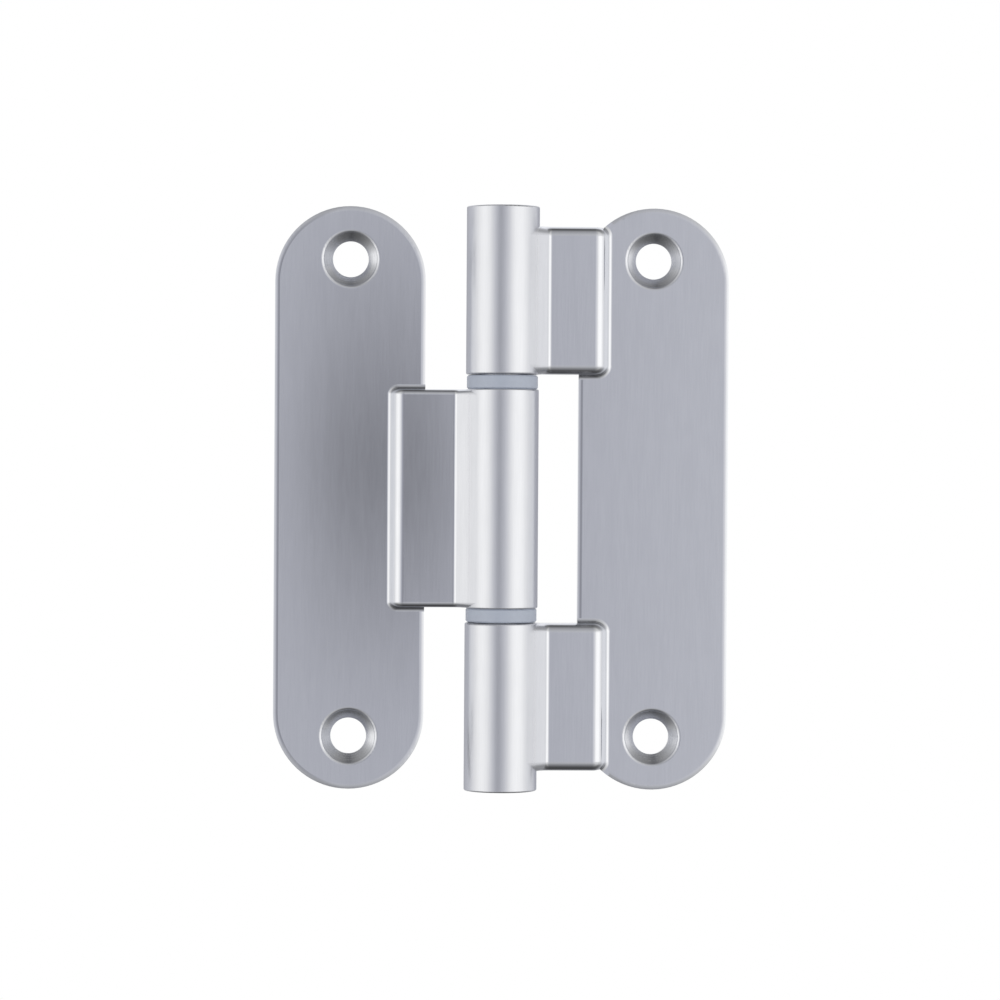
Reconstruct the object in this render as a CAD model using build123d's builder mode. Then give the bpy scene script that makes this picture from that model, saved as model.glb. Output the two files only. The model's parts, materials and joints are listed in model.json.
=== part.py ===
from build123d import *
from math import acos, atan2, cos, hypot, radians, sin, sqrt, tan
import os

os.makedirs("parts", exist_ok=True)

# A three-knuckle hinge, laid open flat. Millimetres, with X to the right, Y away from
# the front and Z up. The pin's axis is the Z axis, and the origin is half way up it.
# Each leaf is drawn on the right of the pin. The door leaf is then mirrored to the left.

# Leaves
hinge_height = 120.0
leaf_width = 31.0
leaf_thickness = 3.0
leaf_centre = 31.3          # from the pin's axis to the middle of a leaf
closed_gap = 4.0            # between the two leaf faces when the hinge is folded shut
rim_width = 0.5             # the front rim rolls off gently before its sharp edge
rim_drop = 0.16
rim_rounding = 3.0
leaf_back_rounding = 0.3

# Screw holes, countersunk from the front
hole_to_end = 10.85         # from a hole's centre to the leaf's nearer end
hole_diameter = 7.4
countersink_diameter = 11.5
countersink_angle = 90.0
hole_rim_rounding = 0.8

# Barrel
barrel_diameter = 15.0
outer_knuckle_length = 34.5
ring_gap = 3.0              # between two knuckles, filled by a bush flange
knuckle_rounding = 0.35

# Arms, from the leaves to the knuckles
arm_rise = 3.0              # how far an arm's flat stands in front of the leaf face
crease_distance = 9.6       # from the pin's axis to where the flat turns down to the barrel
crease_radius = 1.0
arm_end_rounding = 2.4
arm_wall_angle = 64.0       # slope of the wall at the end of an arm
door_arm_side_rounding = 1.1
frame_arm_side_rounding = 1.95
arm_foot_radius = 1.0       # hollow fillet where an arm rises from the leaf
arm_back_radius = 1.5       # hollow fillet between an arm's back and the barrel
door_arm_reach = 23.7       # from the pin's axis to the outer edge of the foot fillet
frame_arm_reach = 22.6
arm_inset = 0.1             # from a knuckle's ends where it faces another knuckle
frame_arm_outer_inset = 4.0  # from the top and the foot of the barrel

# Pin and its set screws
pin_diameter = 8.0
pin_fit = 0.02              # radial clearance in the outer knuckles
pin_end_chamfer = 0.5
groove_depth = 0.5
screw_diameter = 4.0
screw_fit = 0.05            # radial clearance in the tapped hole
screw_point_diameter = 2.8
screw_point_gap = 0.03
screw_recess = 0.4          # below the crown of the barrel
socket_size = 2.0           # across the flats
socket_depth = 1.5

# Bushes
bush_outer_diameter = 10.0
bush_length = 14.0
bush_running_fit = 0.05     # radial clearance on the pin
bush_press_fit = 0.02       # radial clearance in the centre knuckle
flange_diameter = 14.6
flange_running_gap = 0.15
flange_chamfer = 0.3
bush_mouth_chamfer = 0.4
bore_relief = 0.3           # radial clearance of the centre knuckle's middle bore

# End caps
cap_thickness = 3.0
cap_chamfer = 0.25
cap_to_pin_gap = 0.1

# Worked out from the sizes above
half_height = hinge_height / 2
hole_height = half_height - hole_to_end
barrel_radius = barrel_diameter / 2
leaf_front = closed_gap / 2
leaf_back = leaf_front + leaf_thickness
leaf_inner_edge = leaf_centre - leaf_width / 2
arm_front = leaf_front - arm_rise
knuckle_inner_end = half_height - outer_knuckle_length
centre_knuckle_end = knuckle_inner_end - ring_gap
pin_radius = pin_diameter / 2
bore_radius = pin_radius + pin_fit
bush_seat_radius = bush_outer_diameter / 2 + bush_press_fit
pin_end = half_height - cap_thickness - cap_to_pin_gap
screw_height = half_height - outer_knuckle_length / 2
wall_slope = radians(arm_wall_angle)
same = 1e-4                 # two lengths closer than this are equal


def front_plane(depth):
    # A sketch plane across the front, at a depth behind the pin's axis, facing the front
    return Plane(origin=(0, depth, 0), x_dir=(1, 0, 0), z_dir=(0, -1, 0))


def lies_on_depth(depth):
    # A test for edges that lie in the plane Y = depth
    return lambda edge: all(abs(edge.position_at(t).Y - depth) < same for t in (0, 0.5, 1))


def arm_profile(reach):
    # The section of an arm seen along the pin: down from the flat to touch the barrel,
    # and at the other end over a rounding and down a sloping wall into the leaf
    turn = cos(wall_slope)
    foot_drop = arm_foot_radius * (1 - turn)
    rounding_drop = arm_end_rounding * (1 - turn)
    wall_drop = arm_rise - foot_drop - rounding_drop
    foot_start = reach - arm_foot_radius * sin(wall_slope)
    wall_top = (foot_start - wall_drop / tan(wall_slope), arm_front + rounding_drop)
    flat_end = (wall_top[0] - arm_end_rounding * sin(wall_slope), arm_front)
    wall_bottom = (wall_top[0] + (leaf_back - wall_top[1]) / tan(wall_slope), leaf_back)

    crease = (crease_distance, arm_front)
    touch_angle = atan2(arm_front, crease_distance) - acos(barrel_radius / hypot(*crease))
    touch = (barrel_radius * cos(touch_angle), barrel_radius * sin(touch_angle))

    # The back fillet is a circle that touches the back plane and the barrel
    hollow_y = leaf_back + arm_back_radius
    hollow_x = sqrt((barrel_radius + arm_back_radius) ** 2 - hollow_y**2)
    shrink = barrel_radius / (barrel_radius + arm_back_radius)
    back_start = (hollow_x, leaf_back)
    back_touch = (hollow_x * shrink, hollow_y * shrink)

    with BuildSketch() as profile:
        with BuildLine():
            Line((0, 0), touch)
            FilletPolyline(touch, crease, flat_end, radius=crease_radius)
            TangentArc(flat_end, wall_top, tangent=(1, 0))
            Line(wall_top, wall_bottom)
            Line(wall_bottom, back_start)
            TangentArc(back_start, back_touch, tangent=(-1, 0))
            Line(back_touch, (0, 0))
        make_face()
    return profile.sketch


def arm(reach, side_rounding, z_low, z_high):
    # One arm, with its long edges rounded at the front and eased at the back
    with BuildPart() as body:
        with BuildSketch(Plane.XY.offset(z_low)):
            add(arm_profile(reach))
        extrude(amount=z_high - z_low)
        side_edges = body.edges().group_by(Axis.Z)[0] + body.edges().group_by(Axis.Z)[-1]
        inside_barrel = side_edges.filter_by(
            lambda edge: min(hypot(edge.position_at(t).X, edge.position_at(t).Y) for t in (0, 1)) < same
        )
        back_edges = side_edges.filter_by(lambda edge: edge.position_at(0.5).Y > leaf_back - same)
        front_edges = side_edges - inside_barrel - back_edges
        fillet(front_edges, side_rounding)
    return body.part


def arm_foot(reach, side_rounding, z_low, z_high):
    # The hollow fillet round an arm's foot, cut off where the leaf's outline ends.
    # The slab is one fillet radius thick and lies inside the leaf.
    margin = 2 * arm_foot_radius
    with BuildPart() as foot:
        add(arm(reach, side_rounding, z_low, z_high))
        with BuildSketch(front_plane(leaf_front + arm_foot_radius)):
            with Locations(((leaf_inner_edge + reach + margin) / 2, (z_low + z_high) / 2)):
                Rectangle(reach + margin - leaf_inner_edge, z_high - z_low + 2 * margin)
        extrude(amount=arm_foot_radius)
        foot_edges = foot.edges().filter_by(lies_on_depth(leaf_front)).filter_by(
            lambda edge: z_low - same < edge.center().Z < z_high + same
            and leaf_inner_edge + same < edge.center().X < reach
        )
        fillet(foot_edges, arm_foot_radius)
        with BuildSketch(front_plane(leaf_back)):
            with Locations(((leaf_inner_edge + reach) / 2, (z_low + z_high) / 2)):
                Rectangle(reach - leaf_inner_edge, z_high - z_low + 2 * arm_foot_radius)
        extrude(amount=leaf_back - arm_front, mode=Mode.INTERSECT)
        with BuildSketch(front_plane(leaf_back)):
            with Locations((leaf_centre, 0)):
                SlotOverall(hinge_height, leaf_width, rotation=90)
        extrude(amount=leaf_back - arm_front, mode=Mode.INTERSECT)
    return foot.part


def leaf_plate():
    # The round-ended plate, before its holes
    with BuildPart() as plate:
        with BuildSketch(front_plane(leaf_back)):
            with Locations((leaf_centre, 0)):
                SlotOverall(hinge_height, leaf_width, rotation=90)
        extrude(amount=leaf_thickness)
        front_face = plate.faces().sort_by(Axis.Y)[0]
        chamfer(front_face.edges(), rim_width, rim_drop, reference=front_face)
        fillet(plate.edges().filter_by(lies_on_depth(leaf_front)), rim_rounding)
        fillet(plate.edges().filter_by(lies_on_depth(leaf_back)), leaf_back_rounding)
    return plate.part


def knuckle(z_low, z_high):
    # A solid knuckle with its two rims rounded, before its bore
    with BuildPart() as body:
        with BuildSketch(Plane.XY.offset(z_low)):
            Circle(barrel_radius)
        extrude(amount=z_high - z_low)
        fillet(body.edges().filter_by(GeomType.CIRCLE), knuckle_rounding)
    return body.part


def screw_holes():
    # The two countersunk holes of a leaf, as a cutter
    sink_depth = (countersink_diameter - hole_diameter) / 2 / tan(radians(countersink_angle / 2))
    hole_radius = hole_diameter / 2
    sink_radius = countersink_diameter / 2
    with BuildPart() as cutter:
        with Locations(
            front_plane(leaf_front) * Location((leaf_centre, hole_height)),
            front_plane(leaf_front) * Location((leaf_centre, -hole_height)),
        ):
            Cylinder(hole_radius, 2 * leaf_thickness)
            Cone(
                hole_radius,
                sink_radius,
                sink_depth,
                align=(Align.CENTER, Align.CENTER, Align.MAX),
            )
    return cutter.part


def ease_hole_rims(leaf):
    # The rounded rim of each countersink, on the leaf's face
    rims = leaf.edges().filter_by(GeomType.CIRCLE).filter_by(lies_on_depth(leaf_front))
    return rims.filter_by(lambda edge: abs(edge.radius - countersink_diameter / 2) < same)


# Frame leaf: the right leaf, with the upper and the lower knuckle
frame_arm = (
    frame_arm_reach,
    frame_arm_side_rounding,
    knuckle_inner_end + arm_inset,
    half_height - frame_arm_outer_inset,
)
upper_half = [arm(*frame_arm), arm_foot(*frame_arm), knuckle(knuckle_inner_end, half_height)]
with BuildPart() as frame_leaf:
    add(leaf_plate())
    for piece in upper_half:
        add(piece)
        add(mirror(piece, about=Plane.XY, mode=Mode.PRIVATE))
    add(screw_holes(), mode=Mode.SUBTRACT)
    fillet(ease_hole_rims(frame_leaf), hole_rim_rounding)
    with BuildSketch(Plane.XY.offset(-half_height)):
        Circle(bore_radius)
    extrude(amount=hinge_height, mode=Mode.SUBTRACT)
    # A tapped hole for a set screw in the back of each knuckle
    with BuildSketch(front_plane(0)):
        with Locations((0, screw_height), (0, -screw_height)):
            Circle(screw_diameter / 2)
    extrude(amount=-barrel_diameter, mode=Mode.SUBTRACT)
frame_leaf.part.label = "frame_leaf"
export_step(frame_leaf.part, "parts/frame_leaf.step")

# Door leaf: the left leaf, with the centre knuckle. It turns about the pin.
door_arm = (
    door_arm_reach,
    door_arm_side_rounding,
    arm_inset - centre_knuckle_end,
    centre_knuckle_end - arm_inset,
)
with BuildPart() as right_hand_leaf:
    add(leaf_plate())
    add(arm(*door_arm))
    add(arm_foot(*door_arm))
    add(knuckle(-centre_knuckle_end, centre_knuckle_end))
    add(screw_holes(), mode=Mode.SUBTRACT)
    fillet(ease_hole_rims(right_hand_leaf), hole_rim_rounding)
    with BuildSketch(Plane.XY.offset(-half_height)):
        Circle(pin_radius + bore_relief)
    extrude(amount=hinge_height, mode=Mode.SUBTRACT)
    # A wider seat for a bush at each end of the centre knuckle
    for end in (1, -1):
        with BuildSketch(Plane.XY.offset(end * centre_knuckle_end)):
            Circle(bush_seat_radius)
        extrude(amount=-end * bush_length, mode=Mode.SUBTRACT)
with BuildPart() as door_leaf:
    add(mirror(right_hand_leaf.part, about=Plane.YZ, mode=Mode.PRIVATE))
door_leaf.part.label = "door_leaf"
export_step(door_leaf.part, "parts/door_leaf.step")

# Hinge pin: a plain round pin with a groove for the point of each set screw
groove_floor = screw_point_diameter / 2 + screw_fit
groove_mouth = groove_floor + groove_depth
with BuildPart() as hinge_pin:
    with BuildSketch(Plane.XZ) as pin_half_section:
        with BuildLine():
            Polyline(
                (0, 0),
                (pin_radius, 0),
                (pin_radius, screw_height - groove_mouth),
                (pin_radius - groove_depth, screw_height - groove_floor),
                (pin_radius - groove_depth, screw_height + groove_floor),
                (pin_radius, screw_height + groove_mouth),
                (pin_radius, pin_end - pin_end_chamfer),
                (pin_radius - pin_end_chamfer, pin_end),
                (0, pin_end),
                close=True,
            )
        make_face()
        mirror(about=Plane.XZ)
    revolve(axis=Axis.Z)
hinge_pin.part.label = "hinge_pin"
export_step(hinge_pin.part, "parts/hinge_pin.step")

# Bushes: a sleeve in each end of the centre knuckle, with a flange that the two leaves turn on
flange_top = centre_knuckle_end + ring_gap - flange_running_gap
flange_radius = flange_diameter / 2
sleeve_bore = pin_radius + bush_running_fit
sleeve_radius = bush_outer_diameter / 2
sleeve_end = centre_knuckle_end - bush_length
bush_outline = [
    (sleeve_bore, sleeve_end),
    (sleeve_radius, sleeve_end),
    (sleeve_radius, centre_knuckle_end),
    (flange_radius - flange_chamfer, centre_knuckle_end),
    (flange_radius, centre_knuckle_end + flange_chamfer),
    (flange_radius, flange_top - flange_chamfer),
    (flange_radius - flange_chamfer, flange_top),
    (sleeve_bore + bush_mouth_chamfer, flange_top),
    (sleeve_bore, flange_top - bush_mouth_chamfer),
]
for name, end in (("upper_bush", 1), ("lower_bush", -1)):
    with BuildPart() as bush:
        with BuildSketch(Plane.XZ):
            with BuildLine():
                Polyline(*[(x, end * z) for x, z in bush_outline], close=True)
            make_face()
        revolve(axis=Axis.Z)
    bush.part.label = name
    export_step(bush.part, f"parts/{name}.step")

# Set screws: a hexagon socket outside and a flat point in the pin's groove
screw_radius = screw_diameter / 2 - screw_fit
point_radius = screw_point_diameter / 2
point_end = pin_radius - groove_depth + screw_point_gap
screw_top = barrel_radius - screw_recess
point_taper = screw_radius - point_radius
for name, end in (("upper_set_screw", 1), ("lower_set_screw", -1)):
    with BuildPart() as set_screw:
        with BuildSketch(front_plane(screw_top)):
            with Locations((0, end * screw_height)):
                Circle(screw_radius)
        extrude(amount=screw_top - point_end)
        chamfer(set_screw.edges().sort_by(Axis.Y)[0], point_taper)
        with BuildSketch(front_plane(screw_top)):
            with Locations((0, end * screw_height)):
                RegularPolygon(socket_size / 2, 6, major_radius=False)
        extrude(amount=socket_depth, mode=Mode.SUBTRACT)
    set_screw.part.label = name
    export_step(set_screw.part, f"parts/{name}.step")

# End caps: plugs that close the bore flush with the ends of the barrel
for name, end in (("upper_end_cap", 1), ("lower_end_cap", -1)):
    with BuildPart() as end_cap:
        with BuildSketch(Plane.XY.offset(end * (half_height - cap_thickness))):
            Circle(pin_radius)
        extrude(amount=end * cap_thickness)
        outer_rim = end_cap.edges().filter_by(GeomType.CIRCLE).sort_by(Axis.Z)[-1 if end > 0 else 0]
        chamfer(outer_rim, cap_chamfer)
    end_cap.part.label = name
    export_step(end_cap.part, f"parts/{name}.step")
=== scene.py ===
import bpy, bmesh, json
from math import atan, cos, pi, radians
from mathutils import Matrix, Vector

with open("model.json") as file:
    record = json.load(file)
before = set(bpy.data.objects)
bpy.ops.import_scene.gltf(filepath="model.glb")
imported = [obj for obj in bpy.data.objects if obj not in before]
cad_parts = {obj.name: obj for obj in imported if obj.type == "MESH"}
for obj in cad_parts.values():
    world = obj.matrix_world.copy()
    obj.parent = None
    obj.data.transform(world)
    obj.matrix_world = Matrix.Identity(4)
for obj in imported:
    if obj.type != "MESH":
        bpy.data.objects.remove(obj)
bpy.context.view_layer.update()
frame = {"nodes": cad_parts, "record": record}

# Satin steel hinge, laid open flat and seen square on. Metres, with the pin along Z.


class Wire:
    # wraps one shader socket, so that a sum on wires adds its Math nodes
    def __init__(self, graph, socket):
        self.graph, self.socket = graph, socket

    def math(self, operation, *others):
        inputs = dict(enumerate((self,) + others))
        return self.graph.node("ShaderNodeMath", {"operation": operation}, inputs)

    def out(self, name):
        # another output of the same node
        return Wire(self.graph, self.socket.node.outputs[name])

    def __add__(self, other):
        return self.math("ADD", other)

    def __sub__(self, other):
        return self.math("SUBTRACT", other)

    def __rsub__(self, other):
        return self * -1 + other

    def __mul__(self, other):
        return self.math("MULTIPLY", other)

    def __truediv__(self, other):
        return self.math("DIVIDE", other)

    def __rtruediv__(self, other):
        return self ** -1 * other

    def __pow__(self, other):
        return self.math("POWER", other)

    def __abs__(self):
        return self.math("ABSOLUTE")

    __radd__ = __add__
    __rmul__ = __mul__


class Graph:
    # a node tree that is emptied and filled again
    def __init__(self, tree):
        self.tree = tree
        tree.nodes.clear()

    def node(self, kind, settings=None, inputs=None, output=0):
        made = self.tree.nodes.new(kind)
        for name, value in (settings or {}).items():
            if name == "stops":
                self.setStops(made.color_ramp, value)
            else:
                setattr(made, name, value)
        for name, value in (inputs or {}).items():
            if isinstance(value, Wire):
                self.tree.links.new(value.socket, made.inputs[name])
            else:
                made.inputs[name].default_value = value
        return Wire(self, made.outputs[output]) if made.outputs else made

    def setStops(self, ramp, stops):
        while len(ramp.elements) > 1:
            ramp.elements.remove(ramp.elements[-1])
        for index, (place, colour) in enumerate(stops):
            stop = ramp.elements[0] if index == 0 else ramp.elements.new(place)
            stop.position = place
            stop.color = colour

    def mixColours(self, factor, first, second):
        return self.node("ShaderNodeMix", {"data_type": "RGBA"}, {0: factor, 6: first, 7: second}, 2)

    def limit(self, value, low, high, smooth=True):
        # 0 at low and 1 at high, which may be the smaller of the two
        settings = {"interpolation_type": "SMOOTHSTEP" if smooth else "LINEAR"}
        return self.node("ShaderNodeMapRange", settings, {0: value, 1: low, 2: high})

    def noise(self, place, cells, detail, roughness=0.5):
        # cells per metre along X, Y and Z
        stretched = self.node("ShaderNodeVectorMath", {"operation": "MULTIPLY"}, {0: place, 1: cells})
        inputs = {"Vector": stretched, "Scale": 1.0, "Detail": detail, "Roughness": roughness}
        return self.node("ShaderNodeTexNoise", inputs=inputs)

    def bump(self, depth, height):
        return self.node("ShaderNodeBump", inputs={"Strength": 1.0, "Distance": depth, "Height": height})


def rgba(tone, factor=1.0):
    return (*[part * factor for part in tone], 1)


# Camera. It stands a little to the left of the hinge and above its middle, where the left
# leaf mirrors its lens, and looks at the middle of the leaves' faces.
cameraValues = {
    "place": (-0.027, -0.768, 0.009),
    "viewCentre": (-0.00028, 0.002, -0.00031),
    "viewWidth": 0.2062,       # seen at that point
    "sensorWidth": 36,         # millimetres
    "roll": 0.35,              # degrees
}
toCentre = Vector(cameraValues["viewCentre"]) - Vector(cameraValues["place"])
facing = toCentre.to_track_quat("-Z", "Y").to_matrix().to_4x4()
rolled = Matrix.Rotation(radians(cameraValues["roll"]), 4, "Z")
cameraData = bpy.data.cameras.new("camera")
cameraData.sensor_width = cameraValues["sensorWidth"]
cameraData.lens = cameraValues["sensorWidth"] * toCentre.length / cameraValues["viewWidth"]
camera = bpy.data.objects.new("camera", cameraData)
camera.matrix_world = Matrix.Translation(cameraValues["place"]) @ facing @ rolled
bpy.context.scene.collection.objects.link(camera)
bpy.context.scene.camera = camera
print("camera placed")

# Studio: two tall soft lights with a darker gap between them, and white behind the hinge.
# Its angles are in degrees and start from what the leaves mirror in the middle of the view.
studioValues = {
    # angle towards +X, and brightness there
    "roundAbout": [
        (-180, 0.38), (-121, 0.76), (-97, 1.05), (-88, 1.20), (-80, 1.32), (-66, 1.41), (-46, 1.28),
        (-33, 0.90), (-27, 0.74), (-21, 0.59), (-16.5, 0.45), (-13, 0.375), (-8.5, 0.375), (-6.2, 0.45),
        (-4.6, 0.65), (-3.4, 0.65), (-2.6, 0.59), (0.5, 0.60), (1.9, 0.65), (3, 0.67), (9.5, 0.76),
        (14, 0.87), (19, 1.0), (24, 1.15), (35, 1.42), (62, 1.44), (80, 1.14), (97, 0.98), (119, 0.95),
        (135, 0.52), (180, 0.38),
    ],
    # angle above the horizon, and share of that brightness
    "upAndDown": [
        (-90, 0.17), (-75, 0.20), (-62, 0.25), (-50, 0.37), (-38, 0.53), (-28, 0.72), (-18, 0.88),
        (-10, 1.0), (0, 1.0), (10, 1.01), (18, 0.94), (28, 0.84), (40, 0.74), (55, 0.59), (70, 0.43),
        (90, 0.27),
    ],
    # the gap is bluish and the lights are neutral
    "gapBrightness": 0.5, "gapTint": (0.985, 1.0, 1.10),
    "lightBrightness": 1.2, "lightTint": (1.01, 1.0, 0.975),
    # away from the horizon, from the first angle to the second, they draw near one tone
    "evenAngles": (3, 25), "evenShare": 0.6, "evenTone": (0.77, 0.77, 0.77),
    # the camera's lens, which the left leaf mirrors, is fully dark over its core's share of
    # the width
    "lensPlace": (-1.83, 0.53), "lensHalfSize": (1.2, 3.9), "lensCore": 0.8, "lensDarkness": 0.60,
    # angles off straight behind the hinge where mirrored rays see no white and all white
    "backdropAngles": (12, 4),
    # a soft light high behind the hinge, mirrored in the arms' top edges. Its reach is the
    # cosines of the angles off its middle where it starts and is full.
    "highLight": (0.0, 0.72, 0.694), "highLightReach": (0.76, 0.97), "highLightStrength": 1.0,
    # up and down in the hinge's own plane the lights end, by a direction's height and depth
    "endShare": 0.42, "endHeights": (0.15, 0.75), "endDepths": (0.5, 0.2),
}
plainWhite = {"Color": (1, 1, 1, 1), "Strength": 1.0}


def studioTone(brightness):
    gap, light = studioValues["gapBrightness"], studioValues["lightBrightness"]
    share = min(max((brightness - gap) / (light - gap), 0), 1)
    tints = zip(studioValues["gapTint"], studioValues["lightTint"])
    return rgba([dark + (bright - dark) * share for dark, bright in tints], brightness)


world = bpy.data.worlds.new("studio")
world.use_nodes = True
bpy.context.scene.world = world
studio = Graph(world.node_tree)
direction = studio.node("ShaderNodeTexCoord", output="Generated")
across = studio.node("ShaderNodeSeparateXYZ", inputs={0: direction})
depth, height = across.out("Y"), across.out("Z")
azimuth = across.math("ARCTAN2", depth * -1) - atan(toCentre.x / toCentre.length)
elevation = height.math("ARCSINE") - atan(toCentre.z / toCentre.length)
roundAbout = studio.node(
    "ShaderNodeValToRGB",
    {"stops": [((angle + 180) / 360, studioTone(tone)) for angle, tone in studioValues["roundAbout"]]},
    {0: azimuth / (2 * pi) + 0.5},
)
upAndDown = studio.node(
    "ShaderNodeValToRGB",
    {"stops": [((angle + 90) / 180, rgba([tone] * 3)) for angle, tone in studioValues["upAndDown"]]},
    {0: elevation / pi + 0.5},
)
evenLow, evenHigh = (radians(angle) for angle in studioValues["evenAngles"])
evenness = studio.limit(abs(elevation), evenLow, evenHigh) * studioValues["evenShare"]
studioColour = studio.mixColours(evenness, roundAbout, rgba(studioValues["evenTone"]))

lensAcross, lensUp = (radians(angle) for angle in studioValues["lensPlace"])
lensHalfWidth, lensHalfHeight = (radians(angle) for angle in studioValues["lensHalfSize"])
inWidth = studio.limit(abs(azimuth - lensAcross), lensHalfWidth, lensHalfWidth * studioValues["lensCore"])
inHeight = studio.limit(abs(elevation - lensUp), lensHalfHeight, 0.0, smooth=False)
farUp = studio.limit(abs(height), *studioValues["endHeights"])
inPlane = studio.limit(abs(depth), *studioValues["endDepths"])
highDot = studio.node(
    "ShaderNodeVectorMath", {"operation": "DOT_PRODUCT"},
    {0: direction, 1: studioValues["highLight"]}, "Value",
)
strength = studio.node("ShaderNodeRGBToBW", inputs={0: upAndDown})
strength = strength * (1 - inWidth * inHeight * studioValues["lensDarkness"])
strength = strength * (1 - farUp * inPlane * studioValues["endShare"])
highLight = studio.limit(highDot, *studioValues["highLightReach"])
strength = strength + highLight * studioValues["highLightStrength"]
studioLight = studio.node("ShaderNodeBackground", inputs={"Color": studioColour, "Strength": strength})

backdrop = studio.node("ShaderNodeBackground", inputs=plainWhite)
behind = studio.limit(depth, *(cos(radians(angle)) for angle in studioValues["backdropAngles"]))
rays = studio.node("ShaderNodeLightPath", output="Is Camera Ray")
mirrorsWhite = rays.out("Is Glossy Ray") * behind
seesWhite = rays.math("MAXIMUM", mirrorsWhite).math("MAXIMUM", rays.out("Is Transmission Ray"))
surroundings = studio.node("ShaderNodeMixShader", inputs={0: seesWhite, 1: studioLight, 2: backdrop})
studio.node("ShaderNodeOutputWorld", inputs={"Surface": surroundings})
bpy.context.scene.view_settings.view_transform = "Standard"
print("studio lit")


def newLook(name):
    look = bpy.data.materials.new(name)
    look.use_nodes = True
    return look, Graph(look.node_tree)


# Floor: pale, well below the hinge, fading into the white before its rim
floorValues = {
    "height": -0.3, "radius": 1.05, "sides": 96,
    "paleness": 0.86, "whiteShare": 0.55,        # how much of it the camera sees as plain white
    "fadeStart": 0.5, "fadeEnd": 1.0185,         # distance from the hinge's middle
}
floorMesh = bpy.data.meshes.new("floor")
floorShape = bmesh.new()
bmesh.ops.create_circle(
    floorShape, cap_ends=True, segments=floorValues["sides"], radius=floorValues["radius"]
)
bmesh.ops.translate(floorShape, vec=(0, 0, floorValues["height"]), verts=floorShape.verts)
floorShape.to_mesh(floorMesh)
floorShape.free()
floor = bpy.data.objects.new("floor", floorMesh)
floor.visible_glossy = False     # the steel mirrors the studio, whose lower half is dark
bpy.context.scene.collection.objects.link(floor)

paleFloor, graph = newLook("paleFloor")
place = graph.node("ShaderNodeTexCoord", output="Object")
reach = graph.node("ShaderNodeVectorMath", {"operation": "LENGTH"}, {0: place}, "Value")
shown = graph.limit(reach, floorValues["fadeEnd"], floorValues["fadeStart"])
lit = graph.node("ShaderNodeBsdfDiffuse", inputs={"Color": rgba([floorValues["paleness"]] * 3)})
white = graph.node("ShaderNodeEmission", inputs=plainWhite)
cameraSees = graph.node("ShaderNodeLightPath", output="Is Camera Ray")
whiteShare = cameraSees * floorValues["whiteShare"]
pale = graph.node("ShaderNodeMixShader", inputs={0: whiteShare, 1: lit, 2: white})
clear = graph.node("ShaderNodeBsdfTransparent")
surface = graph.node("ShaderNodeMixShader", inputs={0: shown, 1: clear, 2: pale})
graph.node("ShaderNodeOutputMaterial", inputs={"Surface": surface})
floorMesh.materials.append(paleFloor)
print("floor laid")


def finishLook(graph, inputs):
    shader = graph.node("ShaderNodeBsdfPrincipled", inputs=inputs)
    graph.node("ShaderNodeOutputMaterial", inputs={"Surface": shader})


# Satin steel of the two leaves and the end caps, brushed along the pin. Patterns are given
# as cells per metre along X, Y and Z.
steelValues = {
    "streaks": (4500, 4500, 150), "streakDetail": 3.0, "streakRoughness": 0.6, "streakShare": 0.5,
    "bands": (500, 500, 75), "bandDetail": 2.0, "bandShare": 0.35,
    "clouds": (260, 260, 260), "cloudDetail": 2.0, "cloudShare": 0.15,
    "darkTone": (0.646, 0.657, 0.690), "lightTone": (0.676, 0.687, 0.720),
    "toneRange": (0.36, 0.64),        # of the three patterns' sum, from dark to light
    "roughness": 0.078, "roughnessSpread": 0.01,
    "brushing": 0.1,                  # how much the blur differs along and across the lines
    "bumpDepth": 0.00000015,
    # the barrel is a little duller, out to just past its surface
    "barrelRoughness": 0.28, "barrelRadius": 0.0077, "barrelEdge": 0.0006,
    # so are the countersinks, from the front down to their depth, with turned rings
    "sinkRoughness": 0.19, "sinkRadius": 0.0061, "sinkDepth": 0.0045, "sinkEdge": 0.0001,
    "ringCount": 12, "ringSpacing": 0.00045, "ringDepth": 0.00005,
}
screwHoles = next(mount for mount in frame["record"]["mounts"] if mount["name"] == "frame_screws")
holeCentreX = screwHoles["pos_m"][0]
holeCentreZ = screwHoles["dims"]["spacing_y_mm"] / 2000


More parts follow.
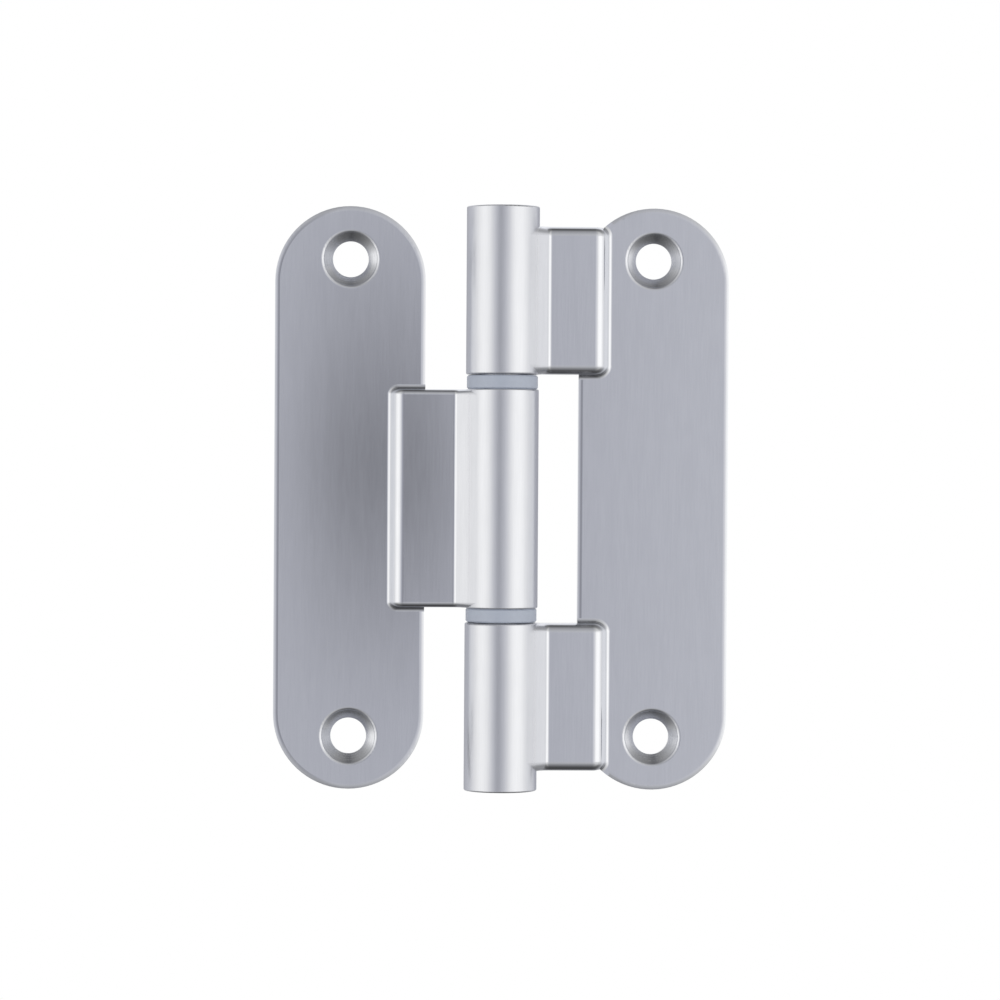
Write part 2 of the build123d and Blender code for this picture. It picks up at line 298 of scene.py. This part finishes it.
def satinSteel(steel):
    look, graph = newLook("satinSteel")
    place = graph.node("ShaderNodeTexCoord", output="Object")
    streaks = graph.noise(place, steel["streaks"], steel["streakDetail"], steel["streakRoughness"])
    bands = graph.noise(place, steel["bands"], steel["bandDetail"])
    clouds = graph.noise(place, steel["clouds"], steel["cloudDetail"])
    mottle = streaks * steel["streakShare"] + bands * steel["bandShare"] + clouds * steel["cloudShare"]
    lightness = graph.limit(mottle, *steel["toneRange"])
    colour = graph.mixColours(lightness, rgba(steel["darkTone"]), rgba(steel["lightTone"]))

    x = graph.node("ShaderNodeSeparateXYZ", inputs={0: place})
    y, z = x.out("Y"), x.out("Z")
    fromPin = (x * x + y * y) ** 0.5
    onBarrel = graph.limit(fromPin, steel["barrelRadius"] + steel["barrelEdge"], steel["barrelRadius"])
    brushed = steel["roughness"] + (bands + streaks - 1) * steel["roughnessSpread"]
    brushed = brushed + onBarrel * (steel["barrelRoughness"] - steel["roughness"])

    acrossHole = abs(x) - holeCentreX
    upHole = abs(z) - holeCentreZ
    fromHole = (acrossHole * acrossHole + upHole * upHole) ** 0.5
    halfEdge = steel["sinkEdge"] / 2
    inSink = graph.limit(fromHole, steel["sinkRadius"] + halfEdge, steel["sinkRadius"] - halfEdge)
    inSink = inSink * graph.limit(y, steel["sinkDepth"] + steel["sinkEdge"], steel["sinkDepth"])
    ringNumber = fromHole / steel["ringSpacing"]
    rings = (1 - ringNumber.math("FRACT")) * ringNumber.math("LESS_THAN", steel["ringCount"])
    relief = streaks * (1 - inSink) + rings * inSink * (steel["ringDepth"] / steel["bumpDepth"])
    finishLook(graph, {
        "Base Color": colour, "Metallic": 1.0,
        "Roughness": brushed * (1 - inSink) + inSink * steel["sinkRoughness"],
        "Anisotropic": steel["brushing"], "Normal": graph.bump(steel["bumpDepth"], relief),
    })
    return look


# Ground steel of the pin, with fine lines round it
pinValues = {
    "mottle": (200, 200, 6000), "mottleDetail": 2.0, "grain": (200, 200, 6000), "grainDetail": 2.0,
    "tone": (0.60, 0.60, 0.61), "toneSpread": (0.93, 1.05), "metallic": 1.0,
    "roughness": 0.18, "roughnessSpread": 0.08, "bumpDepth": 0.0000008,
}
# Plain steel of the set screws
screwValues = {
    "mottle": (2500, 2500, 2500), "mottleDetail": 3.0, "grain": (2500, 2500, 2500), "grainDetail": 3.0,
    "tone": (0.42, 0.42, 0.43), "toneSpread": (0.85, 1.12), "metallic": 1.0,
    "roughness": 0.34, "roughnessSpread": 0.15, "bumpDepth": 0.000002,
}
# Pale blue-grey plastic of the bushes, slightly mottled
bushValues = {
    "mottle": (900, 900, 900), "mottleDetail": 3.0, "grain": (3200, 3200, 3200), "grainDetail": 2.0,
    "tone": (0.52, 0.57, 0.668), "toneSpread": (0.94, 1.05), "metallic": 0.0,
    "roughness": 0.24, "roughnessSpread": 0.1, "bumpDepth": 0.000003,
}


def mottledLook(name, values):
    # tone and roughness follow the mottle, and the grain stands up
    look, graph = newLook(name)
    place = graph.node("ShaderNodeTexCoord", output="Object")
    mottle = graph.noise(place, values["mottle"], values["mottleDetail"])
    grain = graph.noise(place, values["grain"], values["grainDetail"])
    darkTone, lightTone = (rgba(values["tone"], factor) for factor in values["toneSpread"])
    finishLook(graph, {
        "Base Color": graph.mixColours(mottle, darkTone, lightTone), "Metallic": values["metallic"],
        "Roughness": values["roughness"] + (mottle - 0.5) * values["roughnessSpread"],
        "Normal": graph.bump(values["bumpDepth"], grain),
    })
    return look


finishes = {
    "satin_steel": satinSteel(steelValues),
    "pin_steel": mottledLook("groundSteel", pinValues),
    "bush_plastic": mottledLook("bushPlastic", bushValues),
    "screw_steel": mottledLook("plainSteel", screwValues),
}
for subpart in frame["record"]["subparts"]:
    node = frame["nodes"][subpart["node"]]
    for slot in node.material_slots:
        slot.material = finishes[subpart["material_slot"]]
print("finishes on")
